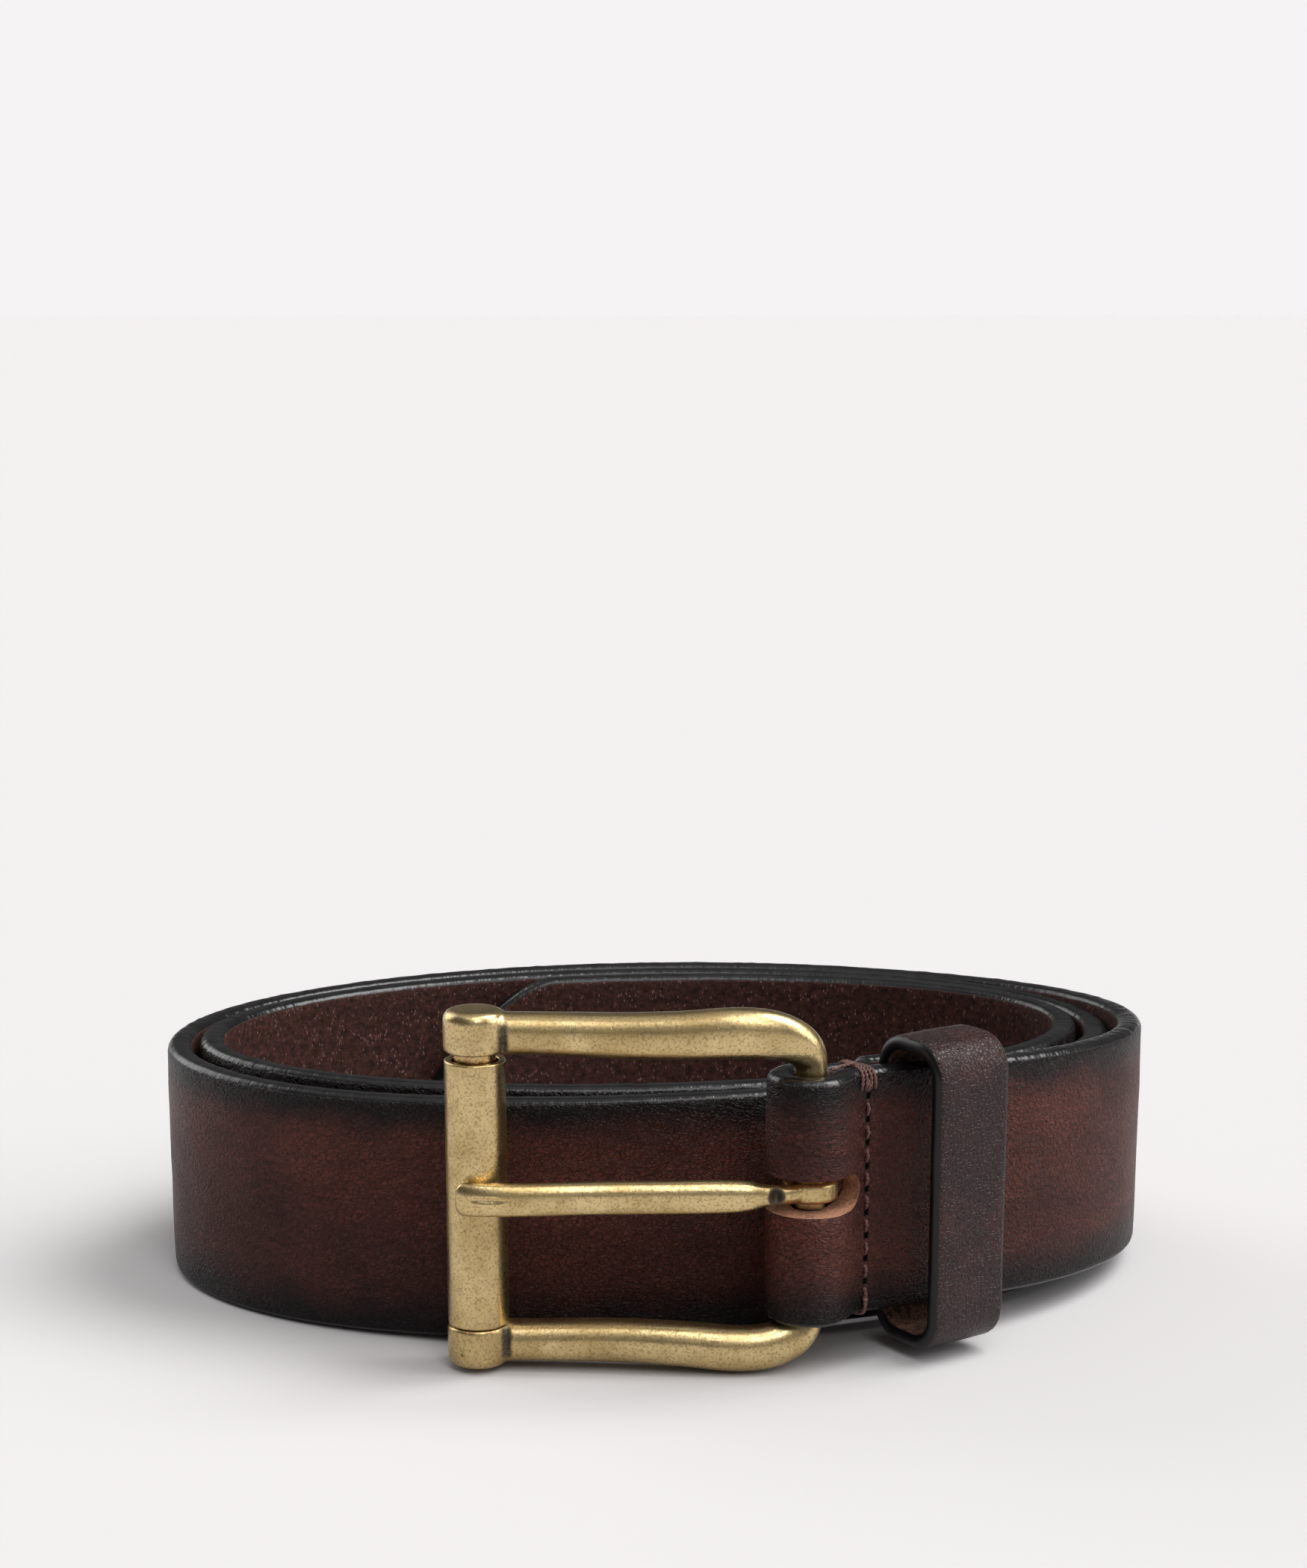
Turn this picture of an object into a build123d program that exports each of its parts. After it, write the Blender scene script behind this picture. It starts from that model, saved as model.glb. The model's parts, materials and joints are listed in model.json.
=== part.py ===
"""Leather belt with a cast brass roller buckle, coiled and standing on its edge.

Millimetres, +Z up, z = 0 on the surface that the belt stands on.
-Y is the front, where the buckle is, and +X is to its right.
The strap starts at the buckle, runs to the right and coils inwards, anticlockwise from above.
"""
from math import atan2, ceil, cos, degrees, pi, radians, sin
import os

from build123d import *
from build123d.topology import SkipClean

os.makedirs("parts", exist_ok=True)

# ---------------------------------------------------------------- leather
STRAP_WIDTH = 38.0
STRAP_THICK = 4.1
TURNBACK_THICK = 2.6        # the folded-back end is pared thinner
TIP_LENGTH = 23.0           # length of the pointed end
HOLE_DIAMETER = 4.5
HOLE_COUNT = 7
HOLE_PITCH = 25.0
FIRST_HOLE_FROM_TIP = 100.0
CUT_MARGIN = 0.25            # cutting tools stop short of the next turn

# ---------------------------------------------------------------- coil
COIL_CENTRE = (-1.2, 4.8)   # centre of the first turn, in plan
HALF_LENGTH = 80.0          # half axes of the strap's centre line at the right end
HALF_DEPTH = 54.0
SHRINK_LENGTH = 4.8         # how much each half axis loses in one turn
SHRINK_DEPTH = 7.9
DRIFT_DEPTH = 3.15          # how far the centre moves back in one turn
COIL_ROTATION = radians(5.8)
COIL_START = radians(-52.4)  # where the straight run at the buckle joins the coil
COIL_END = radians(842)      # the strap's point
COIL_STEP = radians(9.5)

# ---------------------------------------------------------------- buckle end of the strap
STRAIGHT_RUN = 34.5         # from the heel bar's axis to the start of the coil
LEVEL_RUN = 7.0             # from the heel bar's axis to where the strap starts to drop
LIFT_AT_FOLD = 7.8          # bottom edge above the floor
LIFT_AT_COIL = 5.65
LIFT_END_ANGLE = radians(55)  # here the strap is down on the floor
FRONT_HUMP = 1.4            # the second turn rises a little behind the buckle
FRONT_HUMP_ANGLE = radians(285)
FRONT_HUMP_SPAN = radians(75)
SPAN_LIMIT = radians(48)    # the coil's faces are split into spans no longer than this
FOLD_OUTER = 6.7
FOLD_INNER = 2.75
CREASE = 6.6                # where the two plies meet beyond the heel bar
ROW_NEAR = 7.5              # stitch rows, from the heel bar's axis
ROW_FAR = 31.9
TURNBACK_END = 34.0
SLOT_HEIGHT = 5.6
SLOT_END = 6.2
EYE_POINT = 5.4             # the eye narrows to here, where the plies meet

# ---------------------------------------------------------------- keeper loop
KEEPER_START = 14.3
KEEPER_WIDTH = 13.9
KEEPER_DEPTH = 15.0
KEEPER_HEIGHT = 48.0
KEEPER_THICK = 2.3
KEEPER_CORNER = 5.5
LEATHER_GAP = 0.35
POCKET_BEFORE = 1.9         # room for the keeper to slide between the plies
POCKET_AFTER = 1.4
POCKET_SLANT_NEAR = 1.4     # run of the pocket's sloping ends
POCKET_SLANT_FAR = 0.9

# ---------------------------------------------------------------- buckle
BUCKLE_CENTRE_Z = 27.9
BAR_SPACING = 49.5          # heel bar axis to roller axis
HEEL_BAR_RADIUS = 2.25
ARM_RADIUS = 3.35
ARM_SECTIONS = 16
TAPER_START = 0.72         # shares of the arm's length between which it thins
TAPER_END = 0.97
ARM_END_Z = 18.7             # where the arm ends and the plain heel bar begins
ROLLER_CLEARANCE = 0.35
BOSS_RADIUS = 4.55
BOSS_INNER = 21.05          # half the clear height of the frame at the roller
BOSS_OUTER = 27.3
PIN_RADIUS = 3.1
PIN_SOCKET = 4.2
ROLLER_RADIUS = 4.55
ROLLER_BORE = 3.5
ROLLER_LENGTH = 40.7
END_PLAY = 0.12
PRONG_LOOP_RADIUS = 4.2
PRONG_LOOP_HEIGHT = 3.2
PRONG_BORE_GAP = 0.08

# ---------------------------------------------------------------- thread
THREAD_RADIUS = 0.42
STITCH_PITCH = 3.6
STITCH_COUNT = 10


# ---------------------------------------------------------------- the strap's route
def coil_point(angle):
    """Centre line of the coil in plan: an ellipse whose axes shrink turn by turn."""
    turns = angle / (2 * pi)
    along = (HALF_LENGTH - SHRINK_LENGTH * turns) * cos(angle)
    across = (HALF_DEPTH - SHRINK_DEPTH * turns) * sin(angle)
    x = COIL_CENTRE[0] + along * cos(COIL_ROTATION) - across * sin(COIL_ROTATION)
    y = COIL_CENTRE[1] + DRIFT_DEPTH * turns + along * sin(COIL_ROTATION) + across * cos(COIL_ROTATION)
    return Vector(x, y)


def coil_tangent(angle):
    """Direction of travel along the coil."""
    return (coil_point(angle + 0.001) - coil_point(angle - 0.001)).normalized()


def lift(angle):
    """Height of the strap's bottom edge above the floor at one place on the coil."""
    drop = max(0.0, (LIFT_END_ANGLE - angle) / (LIFT_END_ANGLE - COIL_START))
    near = abs(angle - FRONT_HUMP_ANGLE) / FRONT_HUMP_SPAN
    hump = FRONT_HUMP * cos(min(near, 1.0) * pi / 2) ** 2
    return LIFT_AT_COIL * drop ** 1.5 + hump


def rail(angles, offset, height):
    """One long edge of a stretch of strap: the centre line moved outwards and up."""
    def place(angle):
        tangent = coil_tangent(angle)
        outward = Vector(tangent.Y, -tangent.X)
        point = coil_point(angle) + outward * offset
        return Vector(point.X, point.Y, lift(angle) + height)

    ends = []
    for angle in (angles[0], angles[-1]):
        direction = place(angle + 0.001) - place(angle - 0.001)
        if is_flat(angles):
            direction = Vector(direction.X, direction.Y)
        ends.append(direction.normalized())
    return Spline([place(angle) for angle in angles], tangents=ends).edge()


def is_flat(angles):
    """True where the strap's bottom edge stands on the floor for the whole stretch."""
    return all(lift(angle) < 1e-9 for angle in angles)


def band_faces(angles, outer, inner, width):
    """The four long faces of a stretch of strap. The flat stretch behind stands on a plane face."""
    corners = [(outer, 0), (outer, width), (inner, width), (inner, 0)]
    rails = [rail(angles, offset, height) for offset, height in corners]
    faces = []
    for index in range(4):
        near = rails[index]
        far = rails[(index + 1) % 4]
        is_edge = index in (1, 3)
        if is_edge and is_flat(angles) and angles[0] < FRONT_HUMP_ANGLE:
            ends = [Line(near @ end, far @ end).edge() for end in (0, 1)]
            faces.append(Face(Wire([near, ends[0], far, ends[1]])))
        else:
            faces.append(Face.make_surface_from_curves(near, far))
    end_faces = []
    for end in (0, 1):
        corner_points = [edge @ end for edge in rails]
        end_faces.append(Face(Wire.make_polygon(corner_points, close=True)))
    return faces, end_faces


def coil_band(outer, inner, width):
    """The coiled strap as one closed solid, its faces made span by span."""
    faces = []
    for number, angles in enumerate(coil_spans):
        long_faces, end_faces = band_faces(angles, outer, inner, width)
        faces += long_faces
        if number == 0:
            faces.append(end_faces[0])
        if number == len(coil_spans) - 1:
            faces.append(end_faces[1])
    return Solid(Shell(faces))


def span_angles(start, end):
    """Evenly spaced angles between two places on the coil."""
    count = max(2, round((end - start) / COIL_STEP))
    return [start + (end - start) * n / count for n in range(count + 1)]


def split_coil():
    """The coil in spans: one break wherever the bottom edge leaves or meets the floor."""
    breaks = [COIL_START, LIFT_END_ANGLE, FRONT_HUMP_ANGLE - FRONT_HUMP_SPAN]
    breaks += [FRONT_HUMP_ANGLE, FRONT_HUMP_ANGLE + FRONT_HUMP_SPAN, COIL_END]
    spans = []
    for start, end in zip(breaks, breaks[1:]):
        pieces = ceil((end - start) / SPAN_LIMIT)
        for n in range(pieces):
            low = start + (end - start) * n / pieces
            high = start + (end - start) * (n + 1) / pieces
            spans.append(span_angles(low, high))
    return spans


coil_spans = split_coil()

start_tangent = coil_tangent(COIL_START)
start_outward = Vector(start_tangent.Y, -start_tangent.X)
heel = coil_point(COIL_START) - start_tangent * STRAIGHT_RUN - start_outward * (STRAP_THICK / 2)
RUN_ANGLE = atan2(start_tangent.Y, start_tangent.X)
SLOPE = (LIFT_AT_COIL - LIFT_AT_FOLD) / (STRAIGHT_RUN - LEVEL_RUN)

# Local frame of the straight run: x along the strap, y to its back, z up, from the heel bar's axis.
# The inner face of the front ply is the plane y = 0, so the front of the strap is at negative y.
run_frame = Location((heel.X, heel.Y, 0), (0, 0, degrees(RUN_ANGLE)))
heel_frame = Location((heel.X, heel.Y, BUCKLE_CENTRE_Z))


def rounded_end_slot(length_end, height, depth):
    """A slot cut right through the fold, round at its far end."""
    straight = length_end - height / 2
    box = Pos((straight - 2 * FOLD_OUTER) / 2, 0, 0) * Box(straight + 2 * FOLD_OUTER, depth, height)
    round_end = Pos(straight, 0, 0) * Rot(90, 0, 0) * Cylinder(height / 2, depth)
    return box + round_end


def make_strap():
    """The one piece of leather: fold, pared turn-back, coil, holes and point."""
    # Plan of the straight run, with the fold round the heel bar.
    front = -STRAP_THICK
    back = TURNBACK_THICK
    pocket = LEATHER_GAP + KEEPER_THICK + LEATHER_GAP
    pocket_start = KEEPER_START - POCKET_BEFORE
    pocket_end = KEEPER_START + KEEPER_WIDTH + POCKET_AFTER
    outline = [
        Line((STRAIGHT_RUN, 0), (STRAIGHT_RUN, front)),
        Line((STRAIGHT_RUN, front), (CREASE, front)),
        Spline((CREASE, front), (0, -FOLD_OUTER), tangents=[(-1, 0), (-1, 0)]),
        ThreePointArc((0, -FOLD_OUTER), (-FOLD_OUTER, 0), (0, FOLD_OUTER)),
        Spline((0, FOLD_OUTER), (CREASE, back), tangents=[(1, 0), (1, 0)]),
        Spline((CREASE, back), (pocket_start, back + pocket), tangents=[(1, 0), (1, 0)]),
        Line((pocket_start, back + pocket), (pocket_end, back + pocket)),
        Spline((pocket_end, back + pocket), (ROW_FAR - 0.4, back), tangents=[(1, 0), (1, 0)]),
        Line((ROW_FAR - 0.4, back), (TURNBACK_END, back)),
        Line((TURNBACK_END, back), (TURNBACK_END, 0)),
        Line((TURNBACK_END, 0), (STRAIGHT_RUN, 0)),
    ]
    plan = make_face(outline)
    eye = Circle(FOLD_INNER) + make_face(Polyline((0, FOLD_INNER), (EYE_POINT, 0), (0, -FOLD_INNER), close=True))
    pocket_plan = make_face(Polyline(
        (pocket_start - POCKET_SLANT_NEAR, 0),
        (pocket_start, pocket),
        (pocket_end, pocket),
        (pocket_end + POCKET_SLANT_FAR, 0),
        close=True,
    ))
    tall = STRAP_WIDTH + 2 * LIFT_AT_FOLD
    head = extrude(plan - eye - pocket_plan, tall)

    # Side view: level at the fold, then dropping towards the coil.
    side = make_face(Plane.XZ * Polyline(
        (-FOLD_OUTER - 1, LIFT_AT_FOLD),
        (LEVEL_RUN, LIFT_AT_FOLD),
        (STRAIGHT_RUN, LIFT_AT_COIL),
        (STRAIGHT_RUN, LIFT_AT_COIL + STRAP_WIDTH),
        (LEVEL_RUN, LIFT_AT_FOLD + STRAP_WIDTH),
        (-FOLD_OUTER - 1, LIFT_AT_FOLD + STRAP_WIDTH),
        close=True,
    ))
    head = head & extrude(side, 2 * FOLD_OUTER, both=True)
    head -= Pos(0, 0, BUCKLE_CENTRE_Z) * rounded_end_slot(SLOT_END, SLOT_HEIGHT, 4 * FOLD_OUTER)

    half = STRAP_THICK / 2
    coil = coil_band(half, -half, STRAP_WIDTH)
    with SkipClean():  # neighbouring spans stay separate faces
        strap = (run_frame * head) + coil
        for tool in hole_tools() + tip_tools():
            strap -= tool
    return strap


def angle_before_end(distance):
    """Coil angle at a distance back from the point, along the strap."""
    angle = COIL_END
    travelled = 0.0
    small = radians(0.25)
    while travelled < distance:
        travelled += (coil_point(angle) - coil_point(angle - small)).length
        angle -= small
    return angle


def across_strap(angle):
    """Local frame at the strap's mid-height: x along the strap, y through it to its back, z up."""
    point = coil_point(angle)
    tangent = coil_tangent(angle)
    heading = degrees(atan2(tangent.Y, tangent.X))
    return Location((point.X, point.Y, lift(angle) + STRAP_WIDTH / 2), (0, 0, heading))


def hole_tools():
    """Adjustment holes along the inner end of the strap."""
    tools = []
    for index in range(HOLE_COUNT):
        angle = angle_before_end(FIRST_HOLE_FROM_TIP + index * HOLE_PITCH)
        tools.append(across_strap(angle) * Rot(90, 0, 0) * Cylinder(HOLE_DIAMETER / 2, STRAP_THICK + 2 * CUT_MARGIN))
    return tools


def tip_tools():
    """The two corners that are cut away to leave a curved point."""
    place = across_strap(angle_before_end(TIP_LENGTH / 2))
    reach = TIP_LENGTH / 2
    half = STRAP_WIDTH / 2
    tools = []
    for side in (1, -1):
        edge = [
            Spline((-reach, side * half), (reach * 0.3, side * half * 0.62), (reach, 0)),
            Polyline((reach, 0), (reach + 6, 0), (reach + 6, side * (half + 4)), (-reach, side * (half + 4))),
            Line((-reach, side * (half + 4)), (-reach, side * half)),
        ]
        corner = Pos(0, -STRAP_THICK / 2 - CUT_MARGIN, 0) * (Plane.XZ * make_face(edge))
        tools.append(place * extrude(corner, STRAP_THICK + 4, dir=(0, 1, 0)))
    return tools


# ---------------------------------------------------------------- keeper
keeper_middle_z = LIFT_AT_FOLD + SLOPE * (KEEPER_START + KEEPER_WIDTH / 2 - LEVEL_RUN) + STRAP_WIDTH / 2
keeper_frame = run_frame * Pos(KEEPER_START, 0, keeper_middle_z)
KEEPER_MIDDLE = LEATHER_GAP + KEEPER_THICK - KEEPER_DEPTH / 2


def make_keeper():
    """Closed leather loop round the front ply; its back lies between the two plies."""
    ring = RectangleRounded(KEEPER_DEPTH, KEEPER_HEIGHT, KEEPER_CORNER)
    ring -= RectangleRounded(
        KEEPER_DEPTH - 2 * KEEPER_THICK, KEEPER_HEIGHT - 2 * KEEPER_THICK, KEEPER_CORNER - KEEPER_THICK)
    loop = extrude(Plane.YZ * ring, KEEPER_WIDTH)
    return keeper_frame * Pos(0, KEEPER_MIDDLE, 0) * loop


def make_keeper_staple():
    """Wire staple that joins the two ends of the loop, flush in the back wall."""
    wire = 0.45
    centre = Pos(KEEPER_WIDTH / 2, LEATHER_GAP + KEEPER_THICK / 2, 0)
    bridge = Pos(0, 0.45, 0) * Box(2 * wire, 2 * wire, 9)
    staple = bridge
    for side in (1, -1):
        staple += Pos(0, -0.2, side * 4.1) * Box(2 * wire, 1.4, 2 * wire)
    return keeper_frame * centre * staple


# ---------------------------------------------------------------- buckle
def make_arm():
    """Upper arm of the frame, down to the start of the heel bar.

    It bows forwards and flares a little before it turns down and thins into the heel bar.
    """
    route = Spline(
        (-BAR_SPACING, 0, 23.75),
        (-BAR_SPACING + 16, -0.6, 23.65),
        (-20, -1.9, 23.95),
        (-9.5, -2.5, 24.4),
        (-3.1, -1.3, 23.3),
        (0, 0, ARM_END_Z),
        tangents=[(1, 0, 0), (0, 0, -1)],
    )
    sections = []
    for step in range(ARM_SECTIONS + 1):
        share = step / ARM_SECTIONS
        thinning = min(1.0, max(0.0, (share - TAPER_START) / (TAPER_END - TAPER_START)))
        blend = thinning * thinning * (3 - 2 * thinning)
        radius = ARM_RADIUS + (HEEL_BAR_RADIUS - ARM_RADIUS) * blend
        plane = Plane(origin=route @ share, x_dir=(0, 1, 0), z_dir=route % share)
        sections.append(plane * Circle(radius))
    return loft(sections)


def make_boss():
    """Round corner boss that holds one end of the roller's pin."""
    height = BOSS_OUTER - BOSS_INNER
    boss = Cylinder(BOSS_RADIUS, height, align=(Align.CENTER, Align.CENTER, Align.MIN))
    boss = fillet(boss.edges().sort_by(Axis.Z)[-1], 2.5)
    boss = fillet(boss.edges().sort_by(Axis.Z)[0], 0.35)
    return Pos(-BAR_SPACING, 0, BOSS_INNER) * boss


def make_frame():
    """One casting: two bosses, two arms and the thinner heel bar."""
    half = make_boss() + make_arm()
    half -= Pos(-BAR_SPACING, 0, 0) * Cylinder(PIN_RADIUS, 2 * (BOSS_INNER + PIN_SOCKET))
    half -= Pos(-BAR_SPACING, 0, 0) * Cylinder(ROLLER_RADIUS + ROLLER_CLEARANCE, 2 * BOSS_INNER)
    heel_bar = Cylinder(HEEL_BAR_RADIUS, 2 * ARM_END_Z)
    frame = half + mirror(half, about=Plane.XY) + heel_bar
    return heel_frame * frame


def make_pin():
    """Bar that the roller turns on, held in both bosses."""
    pin = Cylinder(PIN_RADIUS, 2 * (BOSS_INNER + PIN_SOCKET))
    return heel_frame * Pos(-BAR_SPACING, 0, 0) * pin


def make_roller():
    """Brass tube, resting on the lower boss."""
    tube = Cylinder(ROLLER_RADIUS, ROLLER_LENGTH) - Cylinder(ROLLER_BORE, ROLLER_LENGTH)
    tube = fillet(tube.edges(), 0.3)
    rise = -BOSS_INNER + END_PLAY + ROLLER_LENGTH / 2
    return heel_frame * Pos(-BAR_SPACING, 0, rise) * tube


def make_prong():
    """Cast prong: a loop round the heel bar and a tapering tongue that rests on the roller."""
    loop = Cylinder(PRONG_LOOP_RADIUS, PRONG_LOOP_HEIGHT)
    rest = -(ROLLER_RADIUS + 0.1)
    stations = [
        (-1.0, -3.0, 1.2, 1.5),
        (-5.2, -3.6, 1.4, 1.55),
        (-8.8, -4.1, 1.8, 2.25),
        (-13.0, -4.5, 1.9, 2.4),
        (-28.0, -5.2, 1.85, 2.4),
        (-42.0, rest - 1.6, 1.7, 2.35),
        (-49.5, rest - 1.35, 1.35, 2.3),
        (-52.0, rest - 0.95, 0.9, 1.9),
    ]
    sections = []
    for x, y, half_thick, half_height in stations:
        plane = Plane(origin=(x, y, 0), x_dir=(0, 1, 0), z_dir=(-1, 0, 0))
        sections.append(plane * Ellipse(half_thick, half_height))
    prong = loop + loft(sections)
    prong -= Cylinder(HEEL_BAR_RADIUS + PRONG_BORE_GAP, 4 * PRONG_LOOP_HEIGHT)
    return heel_frame * prong


# ---------------------------------------------------------------- stitching
def make_stitch_row(distance):
    """A row of thread across the strap: short stitches front and back, and a wrap at each edge."""
    bottom = LIFT_AT_FOLD + SLOPE * (distance - LEVEL_RUN)
    first = bottom + (STRAP_WIDTH - (STITCH_COUNT - 1) * STITCH_PITCH) / 2
    row = []
    for index in range(STITCH_COUNT):
        z = first + index * STITCH_PITCH
        for y, length in ((-STRAP_THICK - 0.1, 1.6), (TURNBACK_THICK + 0.1, 2.4)):
            row.append(Pos(distance, y, z) * Capsule(THREAD_RADIUS, length))
    for edge_z in (bottom, bottom + STRAP_WIDTH):
        middle = (TURNBACK_THICK - STRAP_THICK) / 2
        span = TURNBACK_THICK + STRAP_THICK
        row.append(Pos(distance, middle, edge_z) * Rot(90, 0, 0) * Capsule(THREAD_RADIUS, span))
    return Compound([run_frame * piece for piece in row])


def Capsule(radius, length):
    """A round-ended rod along Z, length between the ends' centres."""
    rod = Cylinder(radius, length)
    for end in (-length / 2, length / 2):
        rod += Pos(0, 0, end) * Sphere(radius)
    return rod.solid()


parts = {
    "strap": make_strap(),
    "stitch_row_at_fold": make_stitch_row(ROW_NEAR),
    "stitch_row_past_keeper": make_stitch_row(ROW_FAR),
    "keeper_loop": make_keeper(),
    "keeper_staple": make_keeper_staple(),
    "buckle_frame": make_frame(),
    "roller_pin": make_pin(),
    "roller": make_roller(),
    "prong": make_prong(),
}

for name, shape in parts.items():
    export_step(shape, f"parts/{name}.step")

print("heel bar axis", round(heel.X, 3), round(heel.Y, 3), "run angle", round(degrees(RUN_ANGLE), 3))
print("keeper slide axis", round(cos(RUN_ANGLE), 5), round(sin(RUN_ANGLE), 5))
resting = coil_point(radians(100))
print("a point on the bottom edge", round(resting.X, 3), round(resting.Y, 3))
whole = Compound(list(parts.values())).bounding_box()
print("box", whole)
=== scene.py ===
"""A coiled leather belt with an antique brass roller buckle, on a pale studio floor.

The strap's shape is worked out in millimetres and written to the meshes in metres.
"""
import json
from math import atan2, ceil, cos, pi, radians, sin, sqrt

import bmesh
import bpy
from mathutils import Matrix, Vector, noise


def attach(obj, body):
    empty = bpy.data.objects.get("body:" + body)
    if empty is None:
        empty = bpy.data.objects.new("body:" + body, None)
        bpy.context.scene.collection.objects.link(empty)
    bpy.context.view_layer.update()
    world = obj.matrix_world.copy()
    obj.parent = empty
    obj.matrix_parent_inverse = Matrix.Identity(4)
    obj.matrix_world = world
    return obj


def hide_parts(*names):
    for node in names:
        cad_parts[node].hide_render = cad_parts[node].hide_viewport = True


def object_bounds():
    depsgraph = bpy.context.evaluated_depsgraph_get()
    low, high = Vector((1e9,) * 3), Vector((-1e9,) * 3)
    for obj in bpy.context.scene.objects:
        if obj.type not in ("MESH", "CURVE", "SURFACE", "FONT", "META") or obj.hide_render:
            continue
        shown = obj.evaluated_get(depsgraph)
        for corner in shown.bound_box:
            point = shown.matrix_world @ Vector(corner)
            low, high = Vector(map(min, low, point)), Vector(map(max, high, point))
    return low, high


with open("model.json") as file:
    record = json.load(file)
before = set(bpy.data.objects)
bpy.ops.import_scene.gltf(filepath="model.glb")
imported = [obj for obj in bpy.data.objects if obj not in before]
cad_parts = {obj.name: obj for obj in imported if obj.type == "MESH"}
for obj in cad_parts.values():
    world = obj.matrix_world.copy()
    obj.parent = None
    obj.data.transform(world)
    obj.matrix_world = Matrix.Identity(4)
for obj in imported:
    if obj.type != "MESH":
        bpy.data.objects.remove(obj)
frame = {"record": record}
cad_low, cad_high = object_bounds()
MM = 0.001

# ---------------------------------------------------------------- sizes, in millimetres
STRAP_WIDTH = 38.0
STRAP_THICK = 4.1
TURNBACK_THICK = 2.6
EDGE_ROUND = 1.35
TIP_LENGTH = 23.0
HOLE_RADIUS = 2.25
HOLE_COUNT = 7
HOLE_PITCH = 25.0
FIRST_HOLE_FROM_TIP = 100.0
COIL_CENTRE = (-1.2, 4.8)
HALF_LENGTH = 80.0
HALF_DEPTH = 54.0
SHRINK_LENGTH = 4.8
SHRINK_DEPTH = 7.9
DRIFT_DEPTH = 3.15
COIL_ROTATION = radians(5.8)
COIL_START = radians(-52.4)
COIL_END = radians(842)
STRAIGHT_RUN = 34.5
LEVEL_RUN = 7.0
LIFT_AT_FOLD = 7.8
LIFT_AT_COIL = 5.65
LIFT_END_ANGLE = radians(55)
FRONT_HUMP = 1.4
FRONT_HUMP_ANGLE = radians(285)
FRONT_HUMP_SPAN = radians(75)
FOLD_RADIUS = 4.72          # middle of the leather round the heel bar
FOLD_THICK = 3.95
FRONT_ROUTE_END = 12.0      # the run is straight and of full thickness from here
SLOT_HEIGHT = 5.6
SLOT_END = 6.2
ROW_NEAR = 7.5
ROW_FAR = 31.9
STITCH_PITCH = 3.6
STITCH_COUNT = 10
THREAD_RADIUS = 0.30
KEEPER_START = 14.3
KEEPER_WIDTH = 13.9
KEEPER_DEPTH = 15.0
KEEPER_HEIGHT = 48.0
KEEPER_THICK = 2.3
KEEPER_CORNER = 5.5
LEATHER_GAP = 0.35
BAR_SPACING = 49.5          # from the heel bar to the roller's pin
GROOVE_FROM_PIN = 4.3       # grooves between the bosses and the arms
GROOVE_HEIGHT = 23.0
PATINA_HEIGHT = 23.3
PIT_BEFORE_HEEL = 5.2       # small pit in the prong's neck
SLOPE = (LIFT_AT_COIL - LIFT_AT_FOLD) / (STRAIGHT_RUN - LEVEL_RUN)

# The heel bar's axis is the buckle's hinge.
swing = next(j for j in frame["record"]["behaviour"]["joints"] if j["name"] == "buckle_swing")
HEEL = Vector(swing["pos_m"][:2]) / MM
BUCKLE_Z = swing["pos_m"][2] / MM


# ---------------------------------------------------------------- the strap's route
def coil_point(angle):
    """Centre line of the coil in plan."""
    turns = angle / (2 * pi)
    along = (HALF_LENGTH - SHRINK_LENGTH * turns) * cos(angle)
    across = (HALF_DEPTH - SHRINK_DEPTH * turns) * sin(angle)
    x = COIL_CENTRE[0] + along * cos(COIL_ROTATION) - across * sin(COIL_ROTATION)
    y = COIL_CENTRE[1] + DRIFT_DEPTH * turns + along * sin(COIL_ROTATION) + across * cos(COIL_ROTATION)
    return Vector((x, y))


def coil_lift(angle):
    """Height of the bottom edge above the floor on the coil."""
    drop = max(0.0, (LIFT_END_ANGLE - angle) / (LIFT_END_ANGLE - COIL_START))
    near = abs(angle - FRONT_HUMP_ANGLE) / FRONT_HUMP_SPAN
    return LIFT_AT_COIL * drop ** 1.5 + FRONT_HUMP * cos(min(near, 1.0) * pi / 2) ** 2


def run_lift(distance):
    """Height of the bottom edge above the floor on the straight run."""
    return LIFT_AT_FOLD + SLOPE * max(0.0, distance - LEVEL_RUN)


start_direction = (coil_point(COIL_START + 0.001) - coil_point(COIL_START - 0.001)).normalized()
RUN_ANGLE = atan2(start_direction.y, start_direction.x)
run_matrix = Matrix.Translation((HEEL.x, HEEL.y, 0)) @ Matrix.Rotation(RUN_ANGLE, 4, "Z")


def from_run(u, v, z=0.0):
    """A point given beside the straight run, u along it and v to its back."""
    return run_matrix @ Vector((u, v, z))


# Centre line of the turn-back, in the run's own frame: along, across, thickness.
TURNBACK_ROUTE = [
    (34.0, 1.32, 2.5), (32.8, 1.32, 2.6), (31.5, 1.65, 2.6), (30.4, 2.9, 2.5), (29.4, 4.05, 2.5),
    (27.5, 4.32, 2.55), (21.0, 4.34, 2.55), (14.6, 4.32, 2.55), (12.7, 4.05, 2.5), (11.7, 3.0, 2.5),
    (10.6, 1.95, 2.5), (9.3, 1.45, 2.55), (7.4, 1.34, 2.6), (5.0, 1.75, 2.9), (3.0, 3.1, 3.5),
]
# Centre line of the front ply behind the fold, in the same form.
FRONT_ROUTE = [
    (3.0, -3.4, STRAP_THICK), (5.0, -2.36, STRAP_THICK), (7.4, -2.06, STRAP_THICK), (9.5, -2.05, STRAP_THICK),
    (FRONT_ROUTE_END, -2.05, STRAP_THICK),
]
FOLD_STEPS = 8
RUN_STEPS = 8
COIL_STEPS = 240


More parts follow.
